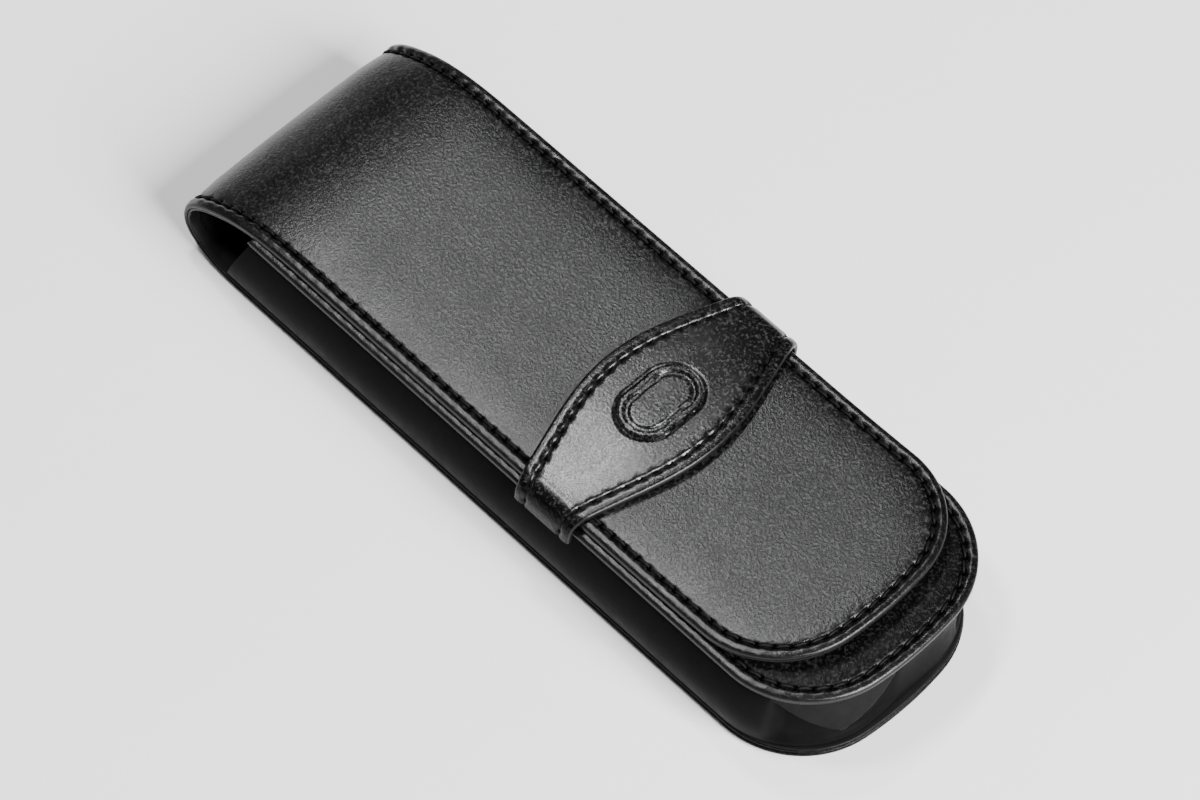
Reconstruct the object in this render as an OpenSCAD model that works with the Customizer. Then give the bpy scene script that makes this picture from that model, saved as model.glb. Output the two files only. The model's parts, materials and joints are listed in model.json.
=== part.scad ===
// Leather case for two fountain pens: a boxed pocket with a soft gusset, a long
// flap that loops over the mouth and a band that the flap tip tucks under.
// Frame: origin under the middle of the case, +X to the rounded end, +Z up.

/* [Pocket] */
// Half of the overall length of the case
half_l = 86.1; // [80:0.1:95]
// Width of the strip that makes the back, the loop and the flap
strip_w = 55; // [50:0.5:62]
// Width of the front panel
front_w = 56.4; // [52:0.2:64]
// Corner radius of the back panel
back_r = 20; // [14:0.5:24]
// Height of the space for the pens
pocket_h = 15.2; // [13:0.1:18]
// How far the soft gusset swells outwards
swell = 2.1; // [0.5:0.1:3]
// Thickness of the gusset leather
gusset_t = 1; // [0.8:0.1:1.4]
// Thickness of the divider between the pens
divider_t = 0.9; // [0.6:0.1:1.4]

/* [Leather] */
// Thickness of the outer leather
leather_t = 1.3; // [1:0.1:1.8]
// Thickness of the board inside each panel
board_t = 0.4; // [0.3:0.1:0.8]
// Thickness of the lining
lining_t = 0.7; // [0.5:0.1:1]

/* [Flap] */
// Distance of the flap tip from the middle of the case
flap_tip = 77.2; // [60:0.1:82]
// Corner radius of the flap tip
flap_r = 20; // [14:0.5:24]
// Gap between parts that move past each other
gap = 0.3; // [0.2:0.05:0.4]

/* [Band] */
// Middle of the band
band_x = 17; // [0:0.5:30]
// Length of the band where it is sewn in at the sides
band_side = 14.6; // [10:0.1:20]
// Length of the band at its widest, over the middle of the flap
band_mid = 28.8; // [24:0.1:34]
// Half width of the embossed plain field
emblem_r = 5.6; // [4:0.1:6]
// Distance between the middles of the field's two round ends
emblem_run = 6.4; // [3:0.1:9]

/* [Sewing] */
// Distance of the stitch rows from the edge
row_inset = 2.7; // [2:0.1:4]
// Distance from one stitch to the next
pitch = 3.2; // [2.8:0.1:4.5]
// Thickness of the thread
thread_d = 0.7; // [0.5:0.05:0.8]

/* [Hidden] */
$fn = 64;
black = [0.09, 0.09, 0.095];
lining_black = [0.15, 0.145, 0.14];
thread_black = [0.04, 0.04, 0.045];

// Heights of the layers, from the table up
panel_t = leather_t + board_t + lining_t;
pocket_z0 = panel_t;
pocket_z1 = pocket_z0 + pocket_h;
front_z1 = pocket_z1 + panel_t;
flap_z0 = front_z1 + gap;
flap_z1 = flap_z0 + panel_t;
band_z0 = flap_z1 + gap;
band_lining_t = 0.5;
band_leather_t = 1.2;
band_z1 = band_z0 + band_lining_t + band_leather_t;
emblem_h = 0.4;
emblem_sink = 0.2;
emblem_rim = 1;

// Ends and half widths of the panels
strip_y = strip_w / 2;
front_y = front_w / 2;
back_end = half_l - 0.5;
mouth_low = -72;
mouth_high = -66;
groove_w = thread_d + 0.1;
groove_d = thread_d + 0.05;

// The loop behind the mouth: corners of its outer face as [x, z]. The strip bends
// at these corners, and each bend is one hinge.
H = [[-76.4, 0], [-half_l, 6], [-half_l + 1.4, 14.8], [-66.9, flap_z1]];
// Heading of each stretch of the strip, from the back panel to the flap
function heading(k) = k == 0 ? 180 : k == 4 ? 0
    : atan2(H[k][1] - H[k - 1][1], H[k][0] - H[k - 1][0]);
function bend(k) = heading(k) - heading(k + 1);
function along(k) = [cos(heading(k)), sin(heading(k))];
function inward(k) = [along(k)[1], -along(k)[0]];
// A point of stretch k, a distance from the corner c and a depth below the outer
// face, drawn back so that the ends of two stretches meet on a mitre with a gap
function mitre(k, c, side, depth) =
    H[c] + side * along(k) * (gap / 2 + depth * tan(bend(c) / 2)) + inward(k) * depth;

// Extrudes an [x, z] profile across the case, from -w to +w
module across(w) {
    translate([0, w, 0]) rotate([90, 0, 0]) linear_extrude(2 * w) children();
}

// Outline of a panel with two rounded corners at its far end
module panel_2d(x0, x1, w, r) {
    translate([x0, -w]) square([x1 - r - x0, 2 * w]);
    translate([x0, -w + r]) square([x1 - x0, 2 * (w - r)]);
    for (s = [-1, 1]) translate([x1 - r, s * (w - r)]) circle(r);
}

module panel(x0, x1, w, r, z0, z1) {
    translate([0, 0, z0]) linear_extrude(z1 - z0) panel_2d(x0, x1, w, r);
}

// Groove that holds a stitch row, a distance d inside the outline of a panel
module groove(x0, x1, w, r, d, z0, z1) {
    difference() {
        panel(x0, x1 - d + groove_w / 2, w - d + groove_w / 2, r - d + groove_w / 2, z0, z1);
        panel(x0 - 1, x1 - d - groove_w / 2, w - d - groove_w / 2, r - d - groove_w / 2,
            z0 - 1, z1 + 1);
    }
}

// Place and heading at distance s along a row that runs up the near side, round
// the end and back down the far side: [x, y, angle]
function row_len(x0, x1, w, r) = 2 * (x1 - r - x0) + PI * r + 2 * (w - r);
function row_at(s, x0, x1, w, r) = let (a = x1 - r - x0, q = PI * r / 2, e = 2 * (w - r))
    s < a ? [x0 + s, -w, 0]
    : s < a + q ? let (t = (s - a) / r * 180 / PI)
        [x1 - r + r * sin(t), -w + r - r * cos(t), t]
    : s < a + q + e ? [x1, -w + r + s - a - q, 90]
    : s < a + 2 * q + e ? let (t = (s - a - q - e) / r * 180 / PI)
        [x1 - r + r * cos(t), w - r + r * sin(t), 90 + t]
    : [x1 - r - (s - a - 2 * q - e), w, 180];

// One stitch: a short round bar that lies along +X
module stitch(length = pitch * 0.74) {
    rotate([0, 90, 0]) cylinder(d = thread_d, h = length, center = true, $fn = 16);
}

// Stitches of a row, with their middles at height z
module stitch_row(x0, x1, w, r, z) {
    total = row_len(x0, x1, w, r);
    n = round(total / pitch);
    for (i = [0 : n - 1]) let (p = row_at((i + 0.5) * total / n, x0, x1, w, r))
        translate([p[0], p[1], z]) rotate([0, 0, p[2]]) stitch();
}

// Stitches of a straight row across a mouth edge
module mouth_row(x, w, z) {
    n = round(2 * w / pitch);
    for (i = [0 : n - 1]) translate([x, -w + (i + 0.5) * 2 * w / n, z]) rotate([0, 0, 90]) stitch();
}

// ---- Strip: back panel, three stretches of the loop, flap ----

// Side profile of a layer of the back panel, from the first bend
module back_profile(t0, t1) {
    polygon([mitre(0, 0, -1, t0), [half_l + 5, t0], [half_l + 5, t1], mitre(0, 0, -1, t1)]);
}

// Side profile of a layer of the flap, from the last bend
module flap_profile(t0, t1) {
    polygon([mitre(4, 3, 1, t0), [half_l + 5, flap_z1 - t0],
        [half_l + 5, flap_z1 - t1], mitre(4, 3, 1, t1)]);
}

module back_leather() {
    color(black) difference() {
        intersection() {
            panel(H[0][0] - 1, back_end, strip_y, back_r, -1, panel_t);
            across(strip_y + 1) back_profile(0, leather_t);
        }
        groove(H[0][0] - 2, back_end, strip_y, back_r, row_inset, -1, groove_d);
    }
}

module back_stiffener() {
    color([0.45, 0.4, 0.33])
        panel(mouth_low + 4, back_end - 3.5, strip_y - 3.5, back_r - 3.5,
            leather_t, leather_t + board_t);
}

module back_lining() {
    color(lining_black) difference() {
        intersection() {
            panel(H[0][0] - 1, back_end - 0.3, strip_y - 0.3, back_r - 0.3, -1, panel_t);
            across(strip_y + 1) back_profile(leather_t, panel_t);
        }
        panel(mouth_low + 4, back_end - 3.5, strip_y - 3.5, back_r - 3.5,
            0, leather_t + board_t);
    }
}

module back_thread() {
    color(thread_black)
        stitch_row(H[0][0] + 1, back_end - row_inset, strip_y - row_inset,
            back_r - row_inset, thread_d / 2 + 0.03);
}

// Stretch k of the loop, between two depths below its outer face
module stretch(k, t0, t1) {
    across(strip_y) polygon([mitre(k, k - 1, 1, t0), mitre(k, k, -1, t0),
        mitre(k, k, -1, t1), mitre(k, k - 1, 1, t1)]);
}

function stretch_len(k) = norm(H[k] - H[k - 1]);

// Moves children onto the outer face of stretch k: +X along it, +Z out of the loop
module on_stretch(k) {
    translate([H[k - 1][0], 0, H[k - 1][1]]) rotate([0, -heading(k), 0]) children();
}

module spine_leather(k) {
    color(black) difference() {
        stretch(k, 0, leather_t);
        for (s = [-1, 1]) on_stretch(k) translate([-5, s * (strip_y - row_inset) - groove_w / 2, -groove_d])
            cube([stretch_len(k) + 10, groove_w, groove_d + 3]);
    }
}

module spine_lining(k) {
    color(lining_black) stretch(k, leather_t, leather_t + lining_t);
}

module spine_thread(k) {
    free = stretch_len(k) - gap - 0.4;
    n = max(1, floor(free / pitch));
    color(thread_black) for (s = [-1, 1], i = [0 : n - 1])
        on_stretch(k) translate([gap / 2 + 0.2 + (i + 0.5) * free / n,
            s * (strip_y - row_inset), -thread_d / 2 - 0.03]) stitch();
}

module flap_leather() {
    color(black) difference() {
        intersection() {
            panel(H[3][0] - 2, flap_tip, strip_y, flap_r, flap_z0 - 1, flap_z1 + 1);
            across(strip_y + 1) flap_profile(0, leather_t);
        }
        groove(H[3][0] - 3, flap_tip, strip_y, flap_r, row_inset, flap_z1 - groove_d, flap_z1 + 2);
    }
}

module flap_board(grow = 0) {
    panel(H[3][0] + 5 - grow, flap_tip - 3.5 + grow, strip_y - 3.5 + grow, flap_r - 3.5 + grow,
        flap_z0 + lining_t, flap_z1 - leather_t);
}

module flap_stiffener() {
    color([0.45, 0.4, 0.33]) flap_board();
}

module flap_lining() {
    color(lining_black) difference() {
        intersection() {
            panel(H[3][0] - 2, flap_tip, strip_y, flap_r, flap_z0 - 1, flap_z1 + 1);
            across(strip_y + 1) flap_profile(leather_t, panel_t);
        }
        flap_board();
    }
}

module flap_thread() {
    color(thread_black)
        stitch_row(H[3][0] + 1, flap_tip - row_inset, strip_y - row_inset, flap_r - row_inset,
            flap_z1 - thread_d / 2 - 0.03);
}

// ---- Pocket: front panel, gusset, divider ----

front_r = back_r + 0.7;
front_end = half_l - 0.5;

module front_leather() {
    color(black) difference() {
        panel(mouth_high, front_end, front_y, front_r, front_z1 - leather_t, front_z1);
        groove(mouth_high + 2 * row_inset, front_end, front_y, front_r, row_inset,
            front_z1 - groove_d, front_z1 + 1);
        translate([mouth_high + row_inset - groove_w / 2, -front_y + row_inset, front_z1 - groove_d])
            cube([groove_w, 2 * (front_y - row_inset), groove_d + 1]);
        for (s = [-1, 1]) translate([mouth_high + row_inset - groove_w / 2,
            s * (front_y - row_inset) - groove_w / 2, front_z1 - groove_d])
            cube([row_inset + groove_w, groove_w, groove_d + 1]);
    }
}

module front_board() {
    panel(mouth_high + 4, front_end - 3.5, front_y - 3.5, front_r - 3.5,
        pocket_z1 + lining_t, front_z1 - leather_t);
}

module front_stiffener() {
    color([0.45, 0.4, 0.33]) front_board();
}

module front_lining() {
    color(lining_black) difference() {
        panel(mouth_high, front_end - 0.2, front_y - 0.2, front_r - 0.2,
            pocket_z1, front_z1 - leather_t);
        front_board();
    }
}

module front_thread() {
    z = front_z1 - thread_d / 2 - 0.03;
    color(thread_black) {
        stitch_row(mouth_high + row_inset + 1, front_end - row_inset, front_y - row_inset,
            front_r - row_inset, z);
        mouth_row(mouth_high + row_inset, front_y - 2 * row_inset, z);
    }
}

// Path of the gusset's seams
gusset_y = strip_y - 0.5;
gusset_end = half_l - swell;
gusset_r = back_r - 0.5;
swell_steps = 12;

// Section of the gusset wall between two depths below its outer face, as [out, z]
function swell_at(u) = swell * sin(180 * u);
module wall_2d(t0, t1) {
    outer = [for (i = [0 : swell_steps]) let (u = i / swell_steps)
        [swell_at(u) - t0, pocket_z0 + u * pocket_h]];
    inner = [for (i = [swell_steps : -1 : 0]) let (u = i / swell_steps)
        [swell_at(u) - t1, pocket_z0 + u * pocket_h]];
    polygon(concat(outer, inner));
}

// Straight stretch of the wall along the side s, from x0 to x1
module side_wall(s, x0, x1, t0, t1) {
    translate([x0, s * gusset_y, 0]) mirror([0, s < 0 ? 1 : 0, 0])
        rotate([90, 0, 90]) linear_extrude(x1 - x0) wall_2d(t0, t1);
}

// Cuts the mouth on a slant: everything before the mouth line, moved by dx, is taken
module before_mouth(dx) {
    slope = (mouth_high - mouth_low) / pocket_h;
    across(front_y + 10) polygon([[mouth_low - 20, pocket_z0 - 1],
        [mouth_low + dx - slope, pocket_z0 - 1],
        [mouth_high + dx + slope, pocket_z1 + 1], [mouth_low - 20, pocket_z1 + 1]]);
}

module gusset() {
    corner_x = gusset_end - gusset_r;
    corner_y = gusset_y - gusset_r;
    color(black) difference() {
        union() {
            for (s = [-1, 1]) {
                side_wall(s, mouth_low - 1, corner_x, 0, gusset_t);
                translate([corner_x, s * corner_y, 0]) rotate([0, 0, s > 0 ? 0 : -90])
                    rotate_extrude(angle = 90) translate([gusset_r, 0]) wall_2d(0, gusset_t);
            }
            translate([gusset_end, corner_y, 0]) rotate([90, 0, 0])
                linear_extrude(2 * corner_y) wall_2d(0, gusset_t);
        }
        before_mouth(0);
    }
}

// Turned edge of the gusset, inside its mouth
hem_w = 5;
module gusset_hem(s) {
    color(black) difference() {
        side_wall(s, mouth_low - 1, mouth_high + hem_w + 2, gusset_t, gusset_t + 0.6);
        before_mouth(0.2);
        translate([hem_w, 0, 0]) difference() {
            translate([mouth_low - 1, -front_y - 5, 0]) cube([30, 2 * front_y + 10, front_z1]);
            before_mouth(0);
        }
    }
}

// Wall between the two pens, with a sewn foot on each lining
divider_x0 = -58;
divider_x1 = 76;
foot_w = 6;
foot_t = 0.6;
module divider() {
    color(lining_black) {
        translate([divider_x0, -divider_t / 2, pocket_z0])
            cube([divider_x1 - divider_x0, divider_t, pocket_h]);
        for (z = [pocket_z0, pocket_z1 - foot_t]) translate([divider_x0, -foot_w / 2, z])
            cube([divider_x1 - divider_x0, foot_w, foot_t]);
    }
}

// ---- Band ----

band_y = front_y + 0.2;
seam_z = pocket_z1 + 0.2;

// Arch of the band across the case, with its inner face t inside the outer one
module arch_2d(out, top, r) {
    translate([-out, seam_z - 5]) square([2 * out, top - r - seam_z + 5]);
    translate([-out + r, seam_z]) square([2 * (out - r), top - seam_z]);
    for (s = [-1, 1]) translate([s * (out - r), top - r]) circle(r);
}

module arch(out0, top0, r0, out1, top1, r1) {
    translate([-40, 0, 0]) rotate([90, 0, 90]) linear_extrude(100) difference() {
        arch_2d(out1, top1, r1);
        arch_2d(out0, top0, r0);
        translate([-50, seam_z - 10]) square([100, 10]);
    }
}

// Edge of the band seen from above: an arc that swells from the side to the middle
belly = (band_mid - band_side) / 2;
half_chord = band_y + 1;
edge_r = (half_chord * half_chord + belly * belly) / (2 * belly);

// Outline of the band from above, drawn in by d on both edges
module band_2d(d) {
    intersection_for(s = [-1, 1])
        translate([band_x + s * (band_mid / 2 - edge_r), 0]) circle(edge_r - d, $fn = 200);
}

// Outline of the embossed field: two round ends and straight sides
module field_2d(r) {
    translate([-r, -emblem_run / 2]) square([2 * r, emblem_run]);
    for (s = [-1, 1]) translate([0, s * emblem_run / 2]) circle(r);
}

module band_prism(d) {
    translate([0, 0, seam_z - 1]) linear_extrude(band_z1 - seam_z + 5) band_2d(d);
}

module band_leather() {
    color(black) {
        difference() {
            intersection() {
                arch(band_y + band_lining_t, band_z0 + band_lining_t, 2.2,
                    band_y + band_lining_t + band_leather_t, band_z1, 3.2);
                band_prism(0);
            }
            translate([0, 0, band_z1 - groove_d]) linear_extrude(5) difference() {
                band_2d(row_inset - groove_w / 2);
                band_2d(row_inset + groove_w / 2);
            }
        }
        translate([band_x, 0, band_z1 - emblem_sink]) linear_extrude(emblem_h + emblem_sink)
            difference() {
                field_2d(emblem_r);
                field_2d(emblem_r - emblem_rim);
            }
    }
}

module band_lining() {
    color(lining_black) intersection() {
        arch(band_y, band_z0, 1.7, band_y + band_lining_t, band_z0 + band_lining_t, 2.2);
        band_prism(0.4);
    }
}

// Stitches along one edge of the band, side -1 towards the mouth and +1 towards the tip
module band_thread(side) {
    r = edge_r - row_inset;
    span = 2 * asin((band_y - 3.2) / r);
    n = round(r * span * PI / 180 / pitch);
    color(thread_black) for (i = [0 : n - 1]) let (a = -span / 2 + (i + 0.5) * span / n)
        translate([band_x + side * (band_mid / 2 - edge_r + r * cos(a)), r * sin(a),
            band_z1 - thread_d / 2 - 0.03]) rotate([0, 0, 90 + side * a]) stitch();
}

back_leather();
back_stiffener();
back_lining();
back_thread();
gusset();
gusset_hem(-1);  // gusset_hem_near
gusset_hem(1);  // gusset_hem_far
front_leather();
front_stiffener();
front_lining();
front_thread();
divider();
band_leather();
band_lining();
band_thread(-1);  // band_thread_upper
band_thread(1);  // band_thread_lower
spine_leather(1);  // spine_leather_1
spine_lining(1);  // spine_lining_1
spine_thread(1);  // spine_thread_1
spine_leather(2);  // spine_leather_2
spine_lining(2);  // spine_lining_2
spine_thread(2);  // spine_thread_2
spine_leather(3);  // spine_leather_3
spine_lining(3);  // spine_lining_3
spine_thread(3);  // spine_thread_3
flap_leather();
flap_stiffener();
flap_lining();
flap_thread();
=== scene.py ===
import math

import bpy
import bmesh
import numpy as np
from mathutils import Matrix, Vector
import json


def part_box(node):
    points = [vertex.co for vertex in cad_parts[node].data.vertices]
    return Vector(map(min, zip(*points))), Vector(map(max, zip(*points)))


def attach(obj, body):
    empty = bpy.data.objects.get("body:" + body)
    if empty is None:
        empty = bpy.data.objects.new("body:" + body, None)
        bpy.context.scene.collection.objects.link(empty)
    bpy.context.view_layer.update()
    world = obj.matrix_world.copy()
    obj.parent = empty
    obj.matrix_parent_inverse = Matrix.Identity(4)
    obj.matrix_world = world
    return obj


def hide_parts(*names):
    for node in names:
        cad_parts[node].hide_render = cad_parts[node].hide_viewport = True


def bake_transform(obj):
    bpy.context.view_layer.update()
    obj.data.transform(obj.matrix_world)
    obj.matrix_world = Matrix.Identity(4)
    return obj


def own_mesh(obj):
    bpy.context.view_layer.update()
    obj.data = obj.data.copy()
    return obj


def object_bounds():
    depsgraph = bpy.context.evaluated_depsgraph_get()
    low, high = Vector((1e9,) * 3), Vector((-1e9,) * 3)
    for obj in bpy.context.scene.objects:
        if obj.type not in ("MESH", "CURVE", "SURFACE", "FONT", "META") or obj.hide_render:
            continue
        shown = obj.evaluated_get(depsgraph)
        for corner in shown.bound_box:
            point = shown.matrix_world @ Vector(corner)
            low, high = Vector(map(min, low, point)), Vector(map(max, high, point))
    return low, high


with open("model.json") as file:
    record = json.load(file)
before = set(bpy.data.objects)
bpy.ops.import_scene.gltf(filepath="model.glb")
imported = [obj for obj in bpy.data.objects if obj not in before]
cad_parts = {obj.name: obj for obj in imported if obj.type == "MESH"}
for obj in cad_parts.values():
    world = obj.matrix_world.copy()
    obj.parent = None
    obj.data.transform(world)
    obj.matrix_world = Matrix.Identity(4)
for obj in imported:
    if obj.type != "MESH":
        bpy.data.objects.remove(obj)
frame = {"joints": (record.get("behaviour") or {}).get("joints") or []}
cad_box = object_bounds()
MM = 0.001

# ---------------------------------------------------------------- sizes, in mm


def box_mm(node):
    """Lowest and highest corner of a CAD node, in mm."""
    low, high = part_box(node)
    return np.array(low) / MM, np.array(high) / MM


HINGES = [np.array(j["pos_m"]) / MM for j in frame["joints"]]
flap_low, flap_high = box_mm("flap_leather")
back_end = box_mm("back_leather")[1][0]
front_low, front_high = box_mm("front_leather")
gusset_low, gusset_high = box_mm("gusset")
band_low, band_high = box_mm("band_leather")
lining_low = box_mm("front_lining")[0]

LEATHER_T = flap_high[2] - flap_low[2]
PANEL_T = front_high[2] - lining_low[2]
LINING_T = PANEL_T - LEATHER_T
LOOP_LINING_T = 0.7
BOARD_T = 0.36
BOARD_INSET = 4.2
STRIP_W = flap_high[1]
FRONT_W = front_high[1]
TIP_R = 20.0
FRONT_R = 20.7
END_R = 80.0
ROW = 2.7
PITCH = 3.2
THREAD_R = 0.3
STEP = 0.42
HOLE_SLANT = 0.15
BEAD_END = 2.1
LEAN = 2.8
TIP_LIFT, LIFT_START, LIFT_RUN = 1.9, 34.0, 43.0
EDGE_DROP, DROP_END, DROP_RUN = 0.4, 9.5, 7.0

# ---------------------------------------------------------------- camera

CAM_AZ = math.radians(46.0)
CAM_EL = math.radians(58.0)
CAM_DIST = 1.040
CAM_LENS = 165.2
CAM_SHIFT = Vector((0.0031, -0.0005, -0.0006))
centre = (cad_box[0] + cad_box[1]) / 2
aim = centre + CAM_SHIFT
back_way = Vector((math.sin(CAM_AZ) * math.cos(CAM_EL), -math.cos(CAM_AZ) * math.cos(CAM_EL),
                   math.sin(CAM_EL)))
camera = bpy.data.objects.new("camera", bpy.data.cameras.new("camera"))
bpy.context.scene.collection.objects.link(camera)
camera.location = aim + back_way * CAM_DIST
camera.rotation_mode = "QUATERNION"
camera.rotation_quaternion = (-back_way).to_track_quat("-Z", "Y")
camera.data.lens = CAM_LENS
camera.data.sensor_width = 36
camera.data.clip_start = 0.05
bpy.context.scene.camera = camera

# ---------------------------------------------------------------- materials


class Nodes:
    """A short way to build a node tree for one material."""

    def __init__(self, name):
        self.mat = bpy.data.materials.new(name)
        self.mat.use_nodes = True
        self.tree = self.mat.node_tree
        self.bsdf = self.tree.nodes["Principled BSDF"]

    def add(self, kind, **inputs):
        node = self.tree.nodes.new("ShaderNode" + kind)
        for key, value in inputs.items():
            node.inputs[key.replace("_", " ")].default_value = value
        return node

    def link(self, a, b):
        self.tree.links.new(a, b)

    def coords(self):
        return self.add("TexCoord").outputs["Object"]

    def noise(self, scale, detail=3.0, rough=0.55):
        node = self.add("TexNoise", Scale=scale, Detail=detail, Roughness=rough)
        self.link(self.coords(), node.inputs["Vector"])
        return node.outputs["Fac"]

    def span(self, value, a, b, c, d):
        node = self.add("MapRange", From_Min=a, From_Max=b, To_Min=c, To_Max=d)
        self.link(value, node.inputs["Value"])
        return node.outputs["Result"]

    def math(self, op, a, b):
        node = self.tree.nodes.new("ShaderNodeMath")
        node.operation = op
        for socket, value in zip(node.inputs, (a, b)):
            if isinstance(value, (int, float)):
                socket.default_value = value
            else:
                self.link(value, socket)
        return node.outputs[0]

    def ramp(self, value, low, high):
        node = self.tree.nodes.new("ShaderNodeValToRGB")
        node.color_ramp.elements[0].color = (*low, 1)
        node.color_ramp.elements[1].color = (*high, 1)
        self.link(value, node.inputs["Fac"])
        self.link(node.outputs["Color"], self.bsdf.inputs["Base Color"])

    def rough(self, value):
        self.link(value, self.bsdf.inputs["Roughness"])

    def bump(self, height, strength, distance, under=None):
        node = self.add("Bump", Strength=strength, Distance=distance)
        self.link(height, node.inputs["Height"])
        if under is not None:
            self.link(under, node.inputs["Normal"])
        return node.outputs["Normal"]

    def finish(self, normal=None, **values):
        if normal is not None:
            self.link(normal, self.bsdf.inputs["Normal"])
        for key, value in values.items():
            self.bsdf.inputs[key.replace("_", " ")].default_value = value
        return self.mat


def pebbled_leather(name, gloss, rough=0.26, relief=0.6, wear_and_glint=0.036):
    """Full-grain black leather: fine pebbles, pores, soft mottling of gloss, and lighter pebble tops
    that are partly wear and partly a painted glint of the grain.
    """
    n = Nodes(name)
    pebbles = n.noise(1600, 2.0, 0.7)
    pores = n.noise(3600, 2.0, 0.6)
    mottle = n.noise(70, 1.0, 0.5)
    grain = n.math("ADD", pebbles, n.math("MULTIPLY", pores, 0.5))
    # Pebble tops lighter in the base colour, up to wear_and_glint: partly wear, partly a painted glint
    # that stands in for the sparkle of the grain.
    n.ramp(n.span(pebbles, 0.5, 0.72, 0.0, 1.0), (0.0005, 0.0005, 0.0005), (wear_and_glint, wear_and_glint, wear_and_glint))
    n.rough(n.span(mottle, 0.2, 0.8, rough, rough + 0.1))
    soft = n.bump(mottle, 0.25, 0.0005)
    normal = n.bump(grain, relief, 0.00015, soft)
    return n.finish(normal, Specular_IOR_Level=gloss)


def edge_paint():
    """The dyed and polished cut edge of the leather."""
    n = Nodes("black_edge_paint")
    brush = n.noise(900, 3.0, 0.6)
    n.ramp(brush, (0.003, 0.003, 0.003), (0.009, 0.009, 0.009))
    n.rough(n.span(brush, 0.3, 0.7, 0.24, 0.36))
    normal = n.bump(brush, 0.2, 0.0001)
    return n.finish(normal, Specular_IOR_Level=0.2)


def smooth_leather(name, dark, light):
    """Soft gusset leather: thinner, smoother, with faint creases."""
    n = Nodes(name)
    creases = n.noise(260, 5.0, 0.62)
    pores = n.noise(4200, 2.0, 0.6)
    n.ramp(creases, (dark, dark, dark), (light, light, light))
    n.rough(n.span(creases, 0.3, 0.7, 0.38, 0.5))
    soft = n.bump(creases, 0.18, 0.0005)
    normal = n.bump(pores, 0.22, 0.0001, soft)
    return n.finish(normal, Specular_IOR_Level=0.015)


def lining_leather():
    """Matt lining: dull, with a fine nap and scuffs."""
    n = Nodes("black_lining")
    nap = n.noise(2600, 3.0, 0.6)
    scuffs = n.noise(150, 4.0, 0.6)
    n.ramp(scuffs, (0.003, 0.003, 0.003), (0.009, 0.009, 0.009))
    n.rough(n.span(scuffs, 0.3, 0.7, 0.5, 0.68))
    normal = n.bump(nap, 0.3, 0.00012)
    return n.finish(normal, Specular_IOR_Level=0.15)


def waxed_thread():
    """Twisted black thread with a wax sheen."""
    n = Nodes("black_thread")
    fibres = n.noise(6000, 3.0, 0.7)
    wave = n.add("TexWave", Scale=1500.0, Distortion=1.0)
    n.link(n.coords(), wave.inputs["Vector"])
    n.ramp(fibres, (0.001, 0.001, 0.001), (0.006, 0.006, 0.006))
    n.rough(n.span(fibres, 0.3, 0.7, 0.4, 0.6))
    normal = n.bump(n.math("ADD", wave.outputs["Fac"], fibres), 0.5, 0.0001)
    return n.finish(normal, Specular_IOR_Level=0.12)


def grey_board():
    """Pressed board inside the panels."""
    n = Nodes("pressed_board")
    fibres = n.noise(900, 6.0, 0.7)
    n.ramp(fibres, (0.2, 0.16, 0.12), (0.42, 0.36, 0.28))
    n.rough(n.span(fibres, 0.2, 0.8, 0.8, 0.95))
    normal = n.bump(fibres, 0.4, 0.0002)
    return n.finish(normal)


LEATHER = pebbled_leather("black_pebbled_leather", 0.5)
# A darker, less glossy copy of the leather: painted shade for the band's legs and the back panel's
# edge.
SHADED_SIDE_LEATHER = pebbled_leather("painted_shade_black_leather_side", 0.1, wear_and_glint=0.012)
# A darker, duller copy of the leather: painted shadow of the flap tip on the front panel inside its
# stitch row.
FLAP_SHADOW_LEATHER = pebbled_leather("painted_shadow_black_leather", 0.16, 0.34, wear_and_glint=0.018)
POLISHED = pebbled_leather("black_polished_leather", 0.5, 0.2, 0.28)
BEAD = pebbled_leather("burnished_black_leather", 0.42, 0.26, 0.4, wear_and_glint=0.02)
EDGE = edge_paint()
SOFT = smooth_leather("black_soft_leather", 0.002, 0.006)
# A lighter copy of the soft leather: painted light on the up-facing facet of the near fold.
LIT_FACET_LEATHER = smooth_leather("painted_light_soft_leather", 0.005, 0.014)
# Nearly black, almost unglossy leather: painted shade in the needle holes and the folds beside them.
HOLE_SHADE_LEATHER = smooth_leather("painted_shade_needle_hole", 0.0005, 0.002)
LINING = lining_leather()
THREAD = waxed_thread()
BOARD = grey_board()

# ---------------------------------------------------------------- mesh helpers


def leaned(verts):
    """The soft case leans a little: its upper layers lie further towards +Y."""
    verts = np.array(verts, float)
    verts[:, 1] += LEAN * (verts[:, 2] / flap_high[2] - 0.5)
    return verts


def make_piece(name, verts, faces, materials, sharp=38, kinds=None):
    """A mesh piece from points in mm. Points that coincide are joined. kinds holds the
    material number of each face."""
    mesh = bpy.data.meshes.new(name)
    mesh.from_pydata((leaned(verts) * MM).tolist(), [], np.asarray(faces).tolist())
    for material in materials:
        mesh.materials.append(material)
    if kinds is not None:
        mesh.polygons.foreach_set("material_index", np.asarray(kinds, np.int32))
    bm = bmesh.new()
    bm.from_mesh(mesh)
    bmesh.ops.remove_doubles(bm, verts=bm.verts, dist=2e-6)
    bmesh.ops.recalc_face_normals(bm, faces=bm.faces)
    bm.to_mesh(mesh)
    bm.free()
    mesh.shade_smooth()
    mesh.set_sharp_from_angle(angle=math.radians(sharp))
    piece = bpy.data.objects.new(name, mesh)
    bpy.context.scene.collection.objects.link(piece)
    return piece


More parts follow.
